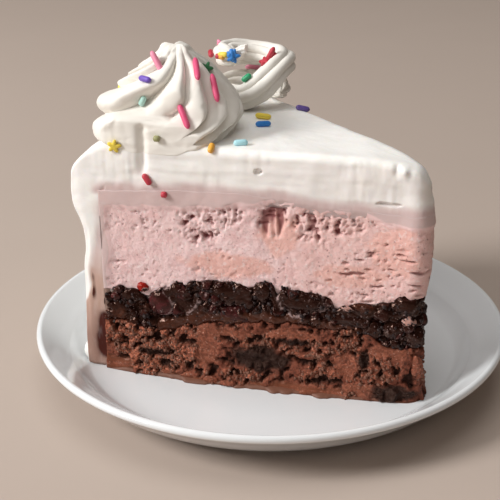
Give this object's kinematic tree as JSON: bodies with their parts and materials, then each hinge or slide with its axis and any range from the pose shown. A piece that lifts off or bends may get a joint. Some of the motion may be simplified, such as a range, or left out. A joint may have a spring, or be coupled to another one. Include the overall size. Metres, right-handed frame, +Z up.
{
  "type": "slice of ice cream cake on a dessert plate",
  "caption": "Wedge of layered ice cream cake with whipped cream, piped swirls and sprinkles, standing on a round white dessert plate.",
  "frame": {"origin": "middle of the plate's underside, at the height of its foot ring", "axes": "+Z up out of the plate, +X from the slice's curved outer side towards its tip"},
  "size_m": [0.165, 0.165, 0.1141],
  "materials": {
    "plate": "glossy white glaze",
    "chocolate_ice_cream": "coarse, softened chocolate ice cream",
    "fudge_crunch": "wet dark fudge with biscuit crunch",
    "strawberry_ice_cream": "matte, finely pitted strawberry ice cream",
    "whipped_cream": "soft satin whipped cream"
  },
  "bodies": {
    "root": {"plate": "plate", "chocolate_ice_cream": "chocolate_ice_cream", "fudge_crunch": "fudge_crunch", "strawberry_ice_cream": "strawberry_ice_cream", "whipped_cream": "whipped_cream", "swirl_front": "whipped_cream", "swirl_back": "whipped_cream"}
  },
  "joints": []
}
